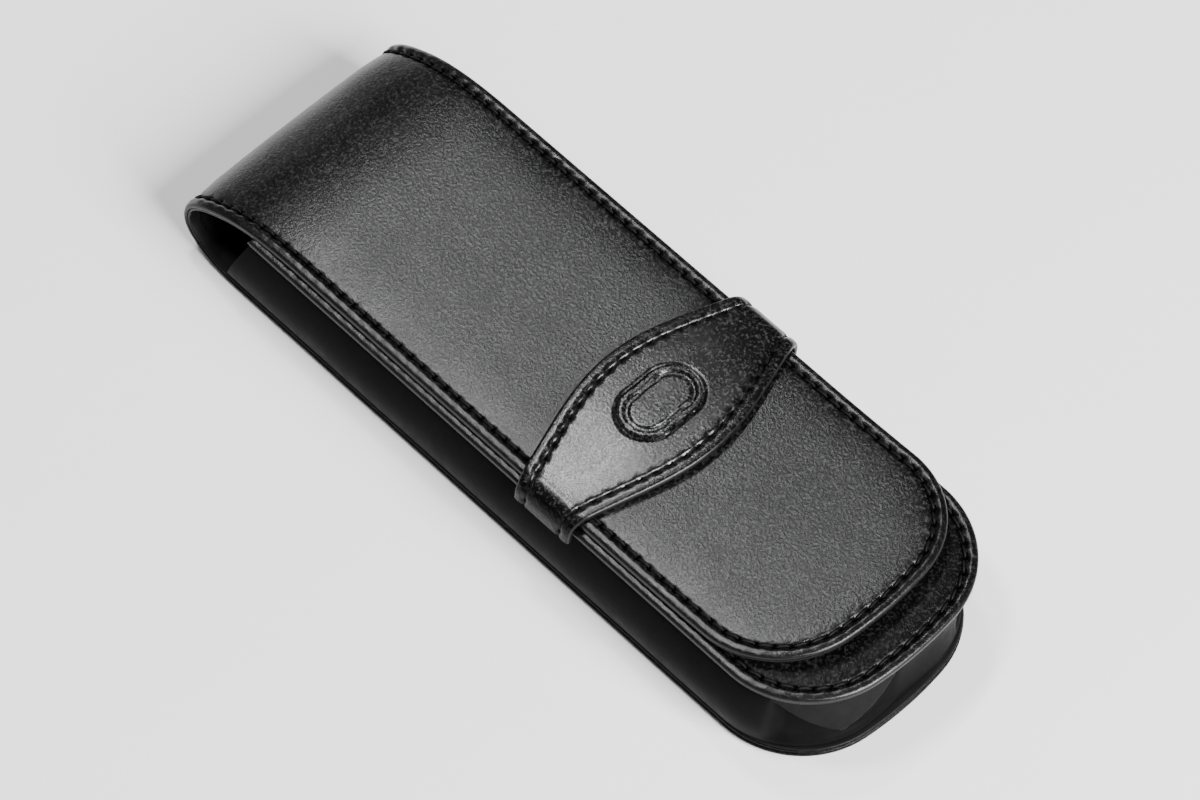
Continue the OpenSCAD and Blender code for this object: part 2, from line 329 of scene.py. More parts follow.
def quads(index, wrap_rows=False, wrap_cols=False):
    """Quads between neighbours of a 2-D array of point numbers."""
    if wrap_rows:
        index = np.vstack([index, index[:1]])
    if wrap_cols:
        index = np.hstack([index, index[:, :1]])
    return np.stack([index[:-1, :-1], index[:-1, 1:], index[1:, 1:], index[1:, :-1]],
                    -1).reshape(-1, 4)


def rim_faces(faces, depth):
    """Which faces lie on the painted edge, from each point's distance to the outline."""
    return depth.reshape(-1)[faces].max(1) < 0.3


def bead_faces(faces, depth):
    """Which faces lie on the burnished bead between the edge and the stitches."""
    d = depth.reshape(-1)[faces]
    return (d.min(1) > 0.25) & (d.max(1) < BEAD_END)


def hole_faces(faces, depth, phase, inner=0.55, outer=0.75, most=-0.1):
    """Which faces lie in the needle holes and the folds that run from them: the faces that take the
    painted shade of the holes.
    """
    turn = phase[:, None] + HOLE_SLANT * (depth - ROW)
    upper = np.arange(depth.shape[1]) < depth.shape[1] / 2
    in_row = (depth > ROW - outer) & (depth < ROW + inner) & upper
    hole = in_row & (np.cos(2 * math.pi * turn) < most)
    return hole.reshape(-1)[faces].mean(1) > 0.5


def closed_section(points, wrap_rows=False, wrap_cols=True):
    """Verts and faces of a solid from points[row, column, 3], where the columns run over the
    top and back along the bottom. Its two ends are capped unless the rows wrap."""
    rows, cols = points.shape[:2]
    index = np.arange(rows * cols).reshape(rows, cols)
    faces = [quads(index, wrap_rows=wrap_rows, wrap_cols=wrap_cols)]
    if not wrap_rows:
        for r in (0, rows - 1):
            line = index[r]
            half = cols // 2
            a, b = line[:half], line[::-1][:half]
            faces.append(np.stack([a[:-1], a[1:], b[1:], b[:-1]], -1))
    return points.reshape(-1, 3), np.vstack(faces)


def gauss(d, at, width):
    return np.exp(-((d - at) / width) ** 2)


def rounding(d, radius):
    """Drop of a rounded edge at distance d from the outline."""
    t = np.clip(1 - d / radius, 0, 1)
    return radius * (1 - np.sqrt(1 - t * t))


def smooth_step(t):
    t = np.clip(t, 0, 1)
    return t * t * (3 - 2 * t)


def waves(x, y, seed=0):
    """A smooth, gentle unevenness from -1 to 1, the same at each run."""
    total = 0
    for k, (fx, fy) in enumerate([(0.11, 0.07), (-0.06, 0.13), (0.17, -0.12), (0.05, 0.19)]):
        total = total + np.sin(fx * x + fy * y + 1.7 * k + seed) / (1 + 0.5 * k)
    return total / 2.6


def edge_drop(d):
    """How much lower the panel is near its edge, where no board lies inside it."""
    return EDGE_DROP * smooth_step((DROP_END - d) / DROP_RUN)


def sewn_height(d, c):
    """Height of sewn leather over its flat face at distance d from the edge. c is 1 in the
    middle of a stitch and -1 at a needle hole."""
    hole = (0.5 - 0.5 * c) ** 2
    return (-rounding(d, 0.6)
            + 0.26 * gauss(d, 1.3, 0.72) * (1 + 0.12 * c)
            - (0.34 + 0.34 * hole) * gauss(d, ROW, 0.42)
            - 0.24 * hole * gauss(d, ROW - 0.6, 0.4)
            - 0.05 * hole * gauss(d, ROW + 0.7, 0.42)
            - 0.08 * gauss(d, ROW + 0.6, 1.2))


def band_height(d, c):
    """Height of the band's leather over its flat face near its sewn edges."""
    hole = 0.5 - 0.5 * c
    return (-rounding(d, 0.6)
            + 0.08 * gauss(d, 1.4, 0.7)
            - (0.3 + 0.2 * hole) * gauss(d, ROW, 0.32)
            - 0.14 * hole * gauss(d, ROW - 0.5, 0.4)
            - 0.1 * hole * gauss(d, ROW + 0.5, 0.4))


EDGE_RINGS = np.array([0, .04, .1, .18, .28, .4, .55, .75, 1.0, 1.25, 1.5, 1.75, 2.0, 2.2, 2.4,
                       2.55, 2.7, 2.85, 3.0, 3.2, 3.45, 3.8, 4.3, 5.0, 6.0])
PLAIN_RINGS = np.array([0, .06, .16, .3, .5, .8, 1.4, 2.6, 4.0, 6.0])
INNER_SHARES = np.array([0.12, 0.28, 0.46, 0.64, 0.82, 1.0])

# ---------------------------------------------------------------- outlines


def tip_arcs(end, w, r):
    """X of the centres of the two corner arcs that round the end of a panel, and the half
    angle of the flat arc between them."""
    big = END_R
    corner_x = end - big + math.sqrt((big - r) ** 2 - (w - r) ** 2)
    turn = math.atan2(w - r, corner_x - (end - big))
    return corner_x, turn


class Outline:
    """Outline of a panel in its own flat plane: u runs to the rounded end, y across.
    rings() gives the points of every inset line, and phase counts stitches along the row."""

    def __init__(self, u0, end, w, r, phase0, step=STEP, mouth=False):
        self.u0, self.end, self.w, self.r, self.mouth = u0, end, w, r, mouth
        self.corner, self.turn = tip_arcs(end, w, r)
        side = np.linspace(0, 1, max(2, int((self.corner - u0) / step)))
        arc = np.linspace(0, 1, int((math.pi / 2 - self.turn) * r / step))[1:]
        nose = np.linspace(0, 1, int(2 * self.turn * END_R / step) + 2)[1:]
        self.parts = [("near", side), ("low", arc), ("nose", nose), ("high", arc),
                      ("far", side[1:])]
        if mouth:
            self.parts.append(("mouth", np.linspace(0, 1, int(2 * w / step))[1:-1]))
        self.phase = self.stitch_phase(phase0)

    def line(self, d):
        """Points of the outline drawn in by d."""
        w, c = self.w - d, self.corner
        start = self.u0 + (d if self.mouth else 0)
        out = []
        for kind, t in self.parts:
            if kind in ("near", "far"):
                f = t if kind == "near" else 1 - t
                out.append(np.stack([start + (c - start) * f,
                                     np.full_like(t, -w if kind == "near" else w)], 1))
            elif kind == "mouth":
                out.append(np.stack([np.full_like(t, start), w - 2 * w * t], 1))
            elif kind == "nose":
                a = (2 * t - 1) * self.turn
                out.append(np.stack([self.end - END_R + (END_R - d) * np.cos(a),
                                     (END_R - d) * np.sin(a)], 1))
            else:
                sweep = math.pi / 2 - self.turn
                a = -math.pi / 2 + t * sweep if kind == "low" else self.turn + t * sweep
                cy = (self.w - self.r) * (-1 if kind == "low" else 1)
                out.append(np.stack([c + (self.r - d) * np.cos(a), cy + (self.r - d) * np.sin(a)], 1))
        return np.vstack(out)

    def stitch_phase(self, phase0):
        """Stitch count along the row. It is even about the middle line of the panel."""
        row = self.line(ROW)
        run = np.concatenate([[0], np.cumsum(np.linalg.norm(np.diff(row, axis=0), axis=1))])
        n_near = len(self.parts[0][1])
        n_tip = sum(len(p[1]) for p in self.parts[1:4])
        near = phase0 + run[:n_near] / PITCH
        tip_run = run[n_near:n_near + n_tip] - run[n_near - 1]
        turns = round(tip_run[-1] / PITCH + 2 * near[-1]) - 2 * near[-1]
        tip = near[-1] + tip_run / tip_run[-1] * turns
        far = tip[-1] + (run[n_near + n_tip:] - run[n_near + n_tip - 1]) / PITCH
        return np.concatenate([near, tip, far])

    def rings(self, ds):
        """Points [sample, ring, 2] for the insets ds and then for rings that close on the
        middle line, and the distance of each ring from the edge."""
        lines = [self.line(d) for d in ds]
        inner = lines[-1]
        low = self.u0 + (0.8 * self.w if self.mouth else 0)
        target = np.stack([np.clip(inner[:, 0], low, self.end - self.w), 0 * inner[:, 0]], 1)
        lines += [inner + (target - inner) * f for f in INNER_SHARES]
        depth = np.concatenate([ds, ds[-1] + INNER_SHARES * (self.w - ds[-1])])
        return np.stack(lines, 1), depth


def slab(outline, ds, top, bottom, place, shrink=0.0):
    """A panel layer: top(d, c, u, y) and bottom(d, c, u, y) are heights of its two faces, and
    place(u, y, h) puts a flat point in the frame. Returns points and depths for
    closed_section."""
    flat, depth = outline.rings(ds + shrink)
    depth = depth - shrink
    c = np.cos(2 * math.pi * outline.phase)[:, None]
    u, y = flat[..., 0], flat[..., 1]
    d = np.broadcast_to(depth, u.shape)
    upper = place(u, y, top(d, c, u, y))
    lower = place(u, y, bottom(d, c, u, y))
    return np.concatenate([upper[:, ::-1], lower], 1), np.concatenate([d[:, ::-1], d], 1)


# ---------------------------------------------------------------- the strip's path


class StripPath:
    """Outer face of the strip seen from the side: back panel, loop and flap."""

    def __init__(self):
        hinge = [np.array([h[0], h[2]]) for h in HINGES]
        start = np.array([back_end, hinge[0][1]])
        stop = np.array([flap_high[0], hinge[3][1]])
        before = hinge[0] + (start - hinge[0]) / np.linalg.norm(start - hinge[0]) * 9
        after = hinge[3] + (stop - hinge[3]) / np.linalg.norm(stop - hinge[3]) * 16
        mids = [before] + [(hinge[k] + hinge[k + 1]) / 2 for k in range(3)] + [after]
        points = [start]
        ways = [self.way(start, before)]
        for k in range(4):
            a = mids[k] + (hinge[k] - mids[k]) * 0.1
            b = mids[k + 1] + (hinge[k] - mids[k + 1]) * 0.1
            t = np.linspace(0, 1, 33)[:, None]
            points += list((1 - t) ** 2 * a + 2 * t * (1 - t) * hinge[k] + t * t * b)
            slope = 2 * (1 - t) * (hinge[k] - a) + 2 * t * (b - hinge[k])
            ways += list(slope / np.linalg.norm(slope, axis=1)[:, None])
        points.append(stop)
        ways.append(self.way(hinge[3], stop))
        self.points, self.ways = np.array(points), np.array(ways)
        steps = np.linalg.norm(np.diff(self.points, axis=0), axis=1)
        self.run = np.concatenate([[0], np.cumsum(steps)])
        self.length = self.run[-1]
        self.cut = [self.nearest(mid) for mid in mids]
        self.mids = mids

    @staticmethod
    def way(a, b):
        return (b - a) / np.linalg.norm(b - a)

    def nearest(self, p):
        """Distance along the path of its point nearest to p."""
        a, b = self.points[:-1], self.points[1:]
        ab = b - a
        t = np.clip(((p - a) * ab).sum(1) / (ab ** 2).sum(1), 0, 1)
        q = a + ab * t[:, None]
        k = int(np.argmin(((q - p) ** 2).sum(1)))
        return self.run[k] + t[k] * (self.run[k + 1] - self.run[k])

    def place(self, s, y, h):
        """Point at distance s along the strip, y across it, h outwards from its outer face."""
        x = np.interp(s, self.run, self.points[:, 0])
        z = np.interp(s, self.run, self.points[:, 1])
        wx = np.interp(s, self.run, self.ways[:, 0])
        wz = np.interp(s, self.run, self.ways[:, 1])
        size = np.sqrt(wx * wx + wz * wz)
        lift = np.where(s > self.cut[4], tip_lift(x), 0)
        return np.stack([x - h * wz / size, y + 0 * s, z + h * wx / size + lift], -1)


def tip_lift(x):
    """How much the flap springs up past the band."""
    return TIP_LIFT * np.clip((x - LIFT_START) / LIFT_RUN, 0, 1) ** 2


PATH = StripPath()
S_REF = PATH.cut[2]


def strip_lining_t(s):
    """The lining is thicker where a board lies under it."""
    on_flap = np.clip((s - PATH.cut[4] + 2) / 8, 0, 1)
    on_back = np.clip((PATH.cut[0] - s + 2) / 8, 0, 1)
    return LOOP_LINING_T + (LINING_T - LOOP_LINING_T) * (on_flap + on_back)


# ---------------------------------------------------------------- stitches


def stitch_points(at, along, across, up, length, lean, dip):
    """Points of one stitch: a short tube that dips into its two holes."""
    sides, rows = 8, 9
    t = np.linspace(-1, 1, rows)
    way = along * math.cos(lean) + across * math.sin(lean)
    side = -along * math.sin(lean) + across * math.cos(lean)
    mid = at + np.outer(t * length / 2, way) - np.outer(dip * t ** 4, up)
    radius = THREAD_R * np.sqrt(1 - 0.72 * t ** 6)
    a = np.arange(sides) * 2 * math.pi / sides
    ring = np.cos(a)[:, None] * side + np.sin(a)[:, None] * up
    return mid[:, None, :] + radius[:, None, None] * ring[None]


def stitches_piece(name, places, lean=0.12, dip=0.34):
    """One piece of many stitches. places holds (point, along, across, up) of each stitch."""
    verts, faces, base = [], [], 0
    for at, along, across, up in places:
        points = stitch_points(at, along, across, up, PITCH * 0.86, lean, dip)
        rows, cols = points.shape[:2]
        index = base + np.arange(rows * cols).reshape(rows, cols)
        verts.append(points.reshape(-1, 3))
        verts.append(points[0].mean(0)[None])
        verts.append(points[-1].mean(0)[None])
        faces += quads(index, wrap_cols=True).tolist()
        for end, hub in ((0, base + rows * cols), (rows - 1, base + rows * cols + 1)):
            loop = list(index[end]) + [index[end][0]]
            faces += [[loop[k], loop[k + 1], hub] for k in range(cols)]
        base += rows * cols + 2
    verts = np.vstack(verts)
    mesh = bpy.data.meshes.new(name)
    mesh.from_pydata((leaned(verts) * MM).tolist(), [], faces)
    bm = bmesh.new()
    bm.from_mesh(mesh)
    bmesh.ops.recalc_face_normals(bm, faces=bm.faces)
    bm.to_mesh(mesh)
    bm.free()
    mesh.shade_smooth()
    piece = bpy.data.objects.new(name, mesh)
    piece.data.materials.append(THREAD)
    bpy.context.scene.collection.objects.link(piece)
    return piece


def unit(v):
    return v / np.linalg.norm(v)


def row_places(row, phase, place, height):
    """Places of the stitches of a row, at whole numbers of its phase. row holds flat points
    and place(u, y, h) puts them in the frame."""
    found = []
    for k in range(len(row) - 1):
        low, high = sorted((phase[k], phase[k + 1]))
        for whole in range(math.ceil(low - 1e-9), math.floor(high - 1e-9) + 1):
            f = (whole - phase[k]) / (phase[k + 1] - phase[k])
            if not 0 <= f < 1:
                continue
            p = row[k] + (row[k + 1] - row[k]) * f
            way = unit(row[k + 1] - row[k])
            found.append(stitch_place(p, way, place, height))
    return found


def stitch_place(p, way, place, height):
    """Point, and directions along, across and up, of a stitch at flat point p."""
    e = 0.2
    at = place(*p, height)
    along = unit(place(*(p + e * way), height) - place(*(p - e * way), height))
    up = unit(place(*p, height + e) - at)
    return at, along, np.cross(up, along), up


# ---------------------------------------------------------------- strip pieces

THREAD_H = -0.7
BAND_THREAD_H = -0.48
CUTS = PATH.cut


def strip_blend(piece, k):
    """Bakes the piece's transform into its mesh; nothing bends it. k, the hinge number, is not used."""
    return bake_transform(piece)


def loop_section(s0, s1, top, bottom, ds, shrink=0.0):
    """A stretch of the strip with two long edges, from s0 to s1."""
    s = np.linspace(s0, s1, max(8, int(round((s1 - s0) / STEP))))
    deep = ds[-1] + shrink
    half = np.concatenate([ds + shrink, deep + INNER_SHARES * (STRIP_W - deep)])
    y = np.concatenate([half - STRIP_W, STRIP_W - half[::-1][1:]])
    d = STRIP_W - np.abs(y) - shrink
    c = np.cos(2 * math.pi * (s - S_REF) / PITCH)[:, None]
    ss, yy = np.meshgrid(s, y, indexing="ij")
    dd = np.broadcast_to(d, ss.shape)
    upper = PATH.place(ss, yy, top(dd, c, ss, yy))
    lower = PATH.place(ss, yy, bottom(dd, c, ss, yy))
    return np.concatenate([upper, lower[:, ::-1]], 1), np.concatenate([dd, dd[:, ::-1]], 1)


def leather_top(d, c, s, y):
    dome = -0.25 * (y / STRIP_W) ** 2
    uneven = 0.07 * (waves(s, y) - 1) * smooth_step((d - 4) / 4)
    return sewn_height(d, c) - edge_drop(d) + dome + uneven


def leather_bottom(d, c, s, y):
    return -LEATHER_T - edge_drop(d) + rounding(d, 0.4) + 0 * s


def lining_top(d, c, s, y):
    return -LEATHER_T - edge_drop(d) - rounding(d, 0.25) - 0.01 + 0 * s


def lining_bottom(d, c, s, y):
    hole = 0.5 - 0.5 * c
    sewn = (0.14 + 0.1 * hole) * gauss(d, ROW - 0.2, 0.5)
    flat = np.minimum(-LEATHER_T - strip_lining_t(s), -LEATHER_T - edge_drop(d) - 0.62)
    return flat + rounding(d, 0.35) + sewn


def strip_pieces():
    """Leather, lining and threads of the back panel, the loop and the flap."""
    layers = (("leather", leather_top, leather_bottom, EDGE_RINGS, 0.0, LEATHER),
              ("lining", lining_top, lining_bottom, PLAIN_RINGS, 0.2, LINING))
    inner_h = -LEATHER_T - LOOP_LINING_T - 0.4
    for part, k, cut in (("back", 0, CUTS[1]), ("flap", 3, CUTS[3])):
        sign = 1 if part == "flap" else -1
        size = PATH.length - cut if part == "flap" else cut
        outline = Outline(0, size, STRIP_W, TIP_R, sign * (cut - S_REF) / PITCH)

        def place(u, y, h, cut=cut, sign=sign):
            return PATH.place(cut + sign * u, y, h)

        for layer, top, bottom, ds, shrink, material in layers:
            points, depth = slab(outline, ds,
                                 lambda d, c, u, y: top(d, c, cut + sign * u, y),
                                 lambda d, c, u, y: bottom(d, c, cut + sign * u, y),
                                 place, shrink)
            verts, faces = closed_section(points, wrap_cols=False)
            kinds = rim_faces(faces, depth).astype(int)
            if layer == "leather":
                kinds[bead_faces(faces, depth)] = 3 if part == "flap" else 0
                kinds[hole_faces(faces, depth, outline.phase)] = 2
            # The back panel's edge takes the darker painted-shade copy of the leather.
            rim = SHADED_SIDE_LEATHER if part == "back" else EDGE
            piece = make_piece(f"{part}_{layer}_skin", verts, faces, [material, rim, HOLE_SHADE_LEATHER, BEAD],
                               kinds=kinds)
            strip_blend(piece, k)
            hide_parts(f"{part}_{layer}")
        row = outline.line(ROW)
        places = row_places(row, outline.phase, place, THREAD_H)
        piece = stitches_piece(f"{part}_stitches", places)
        strip_blend(piece, k)
        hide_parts(f"{part}_thread")
    for k, word in ((1, "low"), (2, "high")):
        s0, s1 = CUTS[k], CUTS[k + 1]
        nodes = {1: ("1",), 2: ("2", "3")}[k]
        for layer, top, bottom, ds, shrink, material in layers:
            points, depth = loop_section(s0, s1, top, bottom, ds, shrink)
            verts, faces = closed_section(points)
            kinds = rim_faces(faces, depth).astype(int)
            if layer == "leather":
                s = np.linspace(s0, s1, len(points))
                kinds[bead_faces(faces, depth)] = 3
                kinds[hole_faces(faces, depth, (s - S_REF) / PITCH)] = 2
            piece = make_piece(f"loop_{word}_{layer}_skin", verts, faces,
                               [material, EDGE, HOLE_SHADE_LEATHER, BEAD], kinds=kinds)
            strip_blend(piece, k)
            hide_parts(*[f"spine_{layer}_{n}" for n in nodes])
        places = []
        for side in (-1, 1):
            s = np.arange(math.ceil((s0 - S_REF) / PITCH), (s1 - S_REF) / PITCH)
            for whole in s:
                p = np.array([S_REF + whole * PITCH, side * (STRIP_W - ROW)])
                way = np.array([1.0, 0.0]) * -side
                places.append(stitch_place(p, way, PATH.place, THREAD_H))
                at, along, across, up = stitch_place(p, way, PATH.place, inner_h + 0.1)
                places.append((at, along, -across, -up))
        piece = stitches_piece(f"loop_{word}_stitches", places)
        strip_blend(piece, k)
        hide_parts(*[f"spine_thread_{n}" for n in nodes])


def board(name, outline, place, ride_on):
    """The thin board inside a panel, between its leather and its lining."""
    def over(d, c, u, y):
        return -LEATHER_T - 0.03 - rounding(d, 0.1) + 0 * u

    def under(d, c, u, y):
        return -LEATHER_T - 0.03 - BOARD_T + rounding(d, 0.1) + 0 * u

    points, _ = slab(outline, PLAIN_RINGS[:6], over, under, place)
    verts, faces = closed_section(points, wrap_rows=True, wrap_cols=False)
    piece = make_piece(name + "_board", verts, faces, [BOARD])
    ride_on(piece)
    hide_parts(name + "_stiffener")


def strip_boards():
    for part, k, sign in (("back", 0, -1), ("flap", 3, 1)):
        low = box_mm(f"{part}_stiffener")[0]
        size = PATH.length if part == "flap" else 0
        start = PATH.nearest(np.array([low[0], HINGES[k][2]]))
        outline = Outline(0, abs(size - start) - BOARD_INSET, STRIP_W - BOARD_INSET,
                          TIP_R - BOARD_INSET, 0.0, step=1.0, mouth=True)

        def place(u, y, h, start=start, sign=sign):
            return PATH.place(start + sign * u, y, h)

        board(part, outline, place, lambda piece, k=k: strip_blend(piece, k))


# ---------------------------------------------------------------- front panel


def front_panel():
    """Front panel: sewn leather over a lining, with its mouth edge under the flap."""
    top_z = front_high[2]
    outline = Outline(front_low[0], front_high[0], FRONT_W, FRONT_R, 0.0, mouth=True)

    def place(x, y, h):
        return np.stack([x + 0 * h, y + 0 * h, top_z + h + 0 * x], -1)

    layers = (("leather", leather_top, leather_bottom, EDGE_RINGS, 0.0, LEATHER),
              ("lining", lining_top, lambda d, c, u, y: -PANEL_T + rounding(d, 0.35) + 0 * u,
               PLAIN_RINGS, 0.25, LINING))
    for layer, top, bottom, ds, shrink, material in layers:
        points, depth = slab(outline, ds, top, bottom, place, shrink)
        verts, faces = closed_section(points, wrap_rows=True, wrap_cols=False)
        kinds = rim_faces(faces, depth).astype(int)
        # Inside the stitch row the front leather takes the painted-shadow copy; the lining keeps its
        # own material there.
        kinds[depth.reshape(-1)[faces].min(1) > ROW] = 2
        if layer == "leather":
            kinds[bead_faces(faces, depth)] = 4
            kinds[hole_faces(faces, depth, outline.phase)] = 3
        inside = FLAP_SHADOW_LEATHER if layer == "leather" else LINING
        piece = make_piece(f"front_{layer}_skin", verts, faces,
                           [material, EDGE, inside, HOLE_SHADE_LEATHER, BEAD], kinds=kinds)
        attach(piece, "root")
        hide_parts(f"front_{layer}")
    low, high = box_mm("front_stiffener")
    inner = Outline(low[0], high[0], high[1], FRONT_R - BOARD_INSET, 0.0, step=1.0,
                    mouth=True)
    board("front", inner, place, lambda piece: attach(piece, "root"))
    row = np.vstack([outline.line(ROW), outline.line(ROW)[:1]])
    phase = np.concatenate([outline.phase, [outline.phase[-1] + 0.1]])
    piece = stitches_piece("front_stitches", row_places(row, phase, place, THREAD_H))
    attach(piece, "root")
    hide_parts("front_thread")


# ---------------------------------------------------------------- gusset

GUSSET_T = 1.0
GUSSET_R = 19.5
GUSSET_Y = STRIP_W - 0.5
GUSSET_Z0, GUSSET_Z1 = gusset_low[2], gusset_high[2]
SWELL = gusset_high[1] - GUSSET_Y
GUSSET_END = gusset_high[0] - SWELL
MOUTH_LOW = gusset_low[0]
MOUTH_HIGH = front_low[0]


def gusset_path(step):
    """Seam line of the gusset from the near mouth round to the far mouth: point, outward
    normal, and the share of each side that follows the slanted mouth."""
    cx, cy = GUSSET_END - GUSSET_R, GUSSET_Y - GUSSET_R
    side = np.linspace(0, 1, int((cx - MOUTH_LOW) / step))
    arc = np.linspace(0, math.pi / 2, int(GUSSET_R * math.pi / 2 / step))[1:]
    end = np.linspace(-cy, cy, int(2 * cy / step))[1:]
    pts = [(MOUTH_LOW + (cx - MOUTH_LOW) * f, -GUSSET_Y, 0, -1, 1 - f) for f in side]
    pts += [(cx + GUSSET_R * math.sin(a), -cy - GUSSET_R * math.cos(a), math.sin(a), -math.cos(a), 0)
            for a in arc]
    pts += [(GUSSET_END, y, 1, 0, 0) for y in end]
    pts += [(cx + GUSSET_R * math.cos(a), cy + GUSSET_R * math.sin(a), math.cos(a), math.sin(a), 0)
            for a in arc]
    pts += [(MOUTH_LOW + (cx - MOUTH_LOW) * f, GUSSET_Y, 0, 1, 1 - f) for f in side[::-1][1:]]
    return np.array(pts, float)


def gusset_wall(depth0, depth1, rows):
    """Points of the wall between two depths below its outer face."""
    path = gusset_path(0.6)
    run = np.concatenate([[0], np.cumsum(np.linalg.norm(np.diff(path[:, :2], axis=0), axis=1))])
    v = np.linspace(0, 1, rows)[None, :]
    bell = np.sin(math.pi * v)
    end = smooth_step((path[:, 2:3] - 0.3) / 0.7)
    swell = SWELL * bell ** 0.8 - 2.6 * bell * end
    swell = swell + 0.2 * waves(run[:, None] * 1.3, v * 12, 2) * bell
    swell, on_facet = tuck(run[:, None], run[-1], v, swell)
    slant = (MOUTH_HIGH - MOUTH_LOW) * path[:, 4:5] ** 8 * v
    faces = []
    for depth in (depth0, depth1):
        off = swell - depth
        faces.append(np.stack([path[:, 0:1] + path[:, 2:3] * off + slant,
                               path[:, 1:2] + path[:, 3:4] * off,
                               GUSSET_Z0 + (GUSSET_Z1 - GUSSET_Z0) * v + 0 * off], -1))
    # Mask of the fold's upper facet, which gets the painted light.
    lit_facet = np.concatenate([on_facet, np.zeros_like(on_facet)], 1)
    return np.concatenate([faces[0], faces[1][:, ::-1]], 1), lit_facet


def tuck(run, total, v, swell):
    """The folds of the soft wall at the two corners of its rounded end: a sloping facet that
    hangs from the panel's edge to a lip, and a hollow under the lip."""
    corner = (GUSSET_END - GUSSET_R - MOUTH_LOW) + GUSSET_R * math.radians(64)
    on_facet = 0
    far = total - corner + GUSSET_R * math.radians(24)
    for at, reach, side, size in ((corner, 15.0, 1, 1.0), (far, 9.0, -1, 0.5)):
        away = (run - at) * side
        spread = np.clip(1 - np.abs(away) / np.where(away > 0, reach, reach - 1), 0, 1)
        lip = 1 - 0.5 * spread ** 0.9
        facet = 2.3 * size * (1 - v) / 0.5
        under = smooth_step((lip - v) / 0.1)
        hollow = -1.5 * smooth_step(v / 0.2) + 1.1 * smooth_step(v / 0.12) * (1 - v / 0.34)
        fold = facet * (1 - under) + hollow * under
        share = smooth_step(spread / 0.3)
        swell = swell * (1 - share) + fold * share
        on_facet = np.maximum(on_facet, (1 - under) * (spread > 0.03) * size - 0.1)
    return swell, on_facet


def gusset():
    """The soft wall between the two panels, and its turned edges at the mouth."""
    points, lit_facet = gusset_wall(0, GUSSET_T, 65)
    verts, faces = closed_section(points)
    # Faces on the fold's upper facet take the painted-light copy of the soft leather.
    kinds = lit_facet.reshape(-1)[faces].min(1) > 0.5
    piece = make_piece("gusset_wall", verts, faces, [SOFT, LIT_FACET_LEATHER], sharp=60, kinds=kinds)
    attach(piece, "root")
    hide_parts("gusset")
    for word, side in (("near", -1), ("far", 1)):
        node = f"gusset_hem_{word}"
        rows, cols = 25, 12
        v = np.linspace(0, 1, rows)[:, None]
        f = np.linspace(0, 1, cols)[None, :]
        x = MOUTH_LOW + 0.25 + (MOUTH_HIGH - MOUTH_LOW) * v + 4.6 * f
        z = GUSSET_Z0 + (GUSSET_Z1 - GUSSET_Z0) * v + 0 * f
        swell = SWELL * np.sin(math.pi * v) ** 0.8
        outer = GUSSET_Y + swell - GUSSET_T - 0.02
        thin = 0.6 * (1 - 0.8 * f ** 6) * (1 - 0.5 * (1 - f) ** 10)
        a = np.stack([x, side * outer + 0 * x, z], -1)
        b = np.stack([x, side * (outer - thin), z], -1)
        verts, faces = closed_section(np.concatenate([a, b[:, ::-1]], 1))
        piece = make_piece(node + "_fold", verts, faces, [SOFT])
        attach(piece, "root")
        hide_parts(node)


def divider():
    """The wall between the pens: web with a rounded front edge, and two sewn feet."""
    low, high = box_mm("divider")
    z0, z1 = low[2], high[2]
    half, foot, foot_t, fillet = 0.45, 3.0, 0.6, 0.7
    section = [(-foot, z0), (foot, z0), (foot, z0 + 0.5 * foot_t), (half + fillet, z0 + foot_t),
               (half, z0 + foot_t + fillet), (half, z1 - foot_t - fillet), (half + fillet, z1 - foot_t),
               (foot, z1 - 0.5 * foot_t), (foot, z1), (-foot, z1), (-foot, z1 - 0.5 * foot_t),
               (-half - fillet, z1 - foot_t), (-half, z1 - foot_t - fillet),
               (-half, z0 + foot_t + fillet), (-half - fillet, z0 + foot_t), (-foot, z0 + 0.5 * foot_t)]
    xs = np.linspace(low[0], high[0], 60)
    sag = 0.35 * np.sin(np.linspace(0, 5.0, 60))
    verts, count = [], len(section)
    for x, s in zip(xs, sag):
        for y, z in section:
            bow = s * math.sin(math.pi * (z - z0) / (z1 - z0)) if abs(y) <= half + 0.01 else 0
            verts.append((x, y + bow, z))
    index = np.arange(60 * count).reshape(60, count)
    faces = quads(index, wrap_cols=True).tolist() + [list(index[0]), list(index[-1])]
    mesh = bpy.data.meshes.new("divider_wall")
    mesh.from_pydata((leaned(verts) * MM).tolist(), [], faces)
    mesh.shade_smooth()
    mesh.set_sharp_from_angle(angle=math.radians(38))
    piece = bpy.data.objects.new("divider_wall", mesh)
    piece.data.materials.append(LINING)
    bpy.context.scene.collection.objects.link(piece)
    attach(piece, "root")
    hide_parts("divider")


# ---------------------------------------------------------------- band

BAND_T = 1.2
BAND_LINING_T = 0.5
BAND_OUT = band_high[1]
BAND_TOP = flap_high[2] + 0.3 + BAND_LINING_T + BAND_T
BAND_SEAM = band_low[2]
BAND_X = (band_low[0] + band_high[0]) / 2
BAND_MID = band_high[0] - band_low[0]
BAND_SIDE = 14.6
BAND_CORNER = 4.0
BAND_ARCH = 1.3
BAND_STEP = 0.24
EMBLEM_RUN, EMBLEM_R = 3.2, 5.6


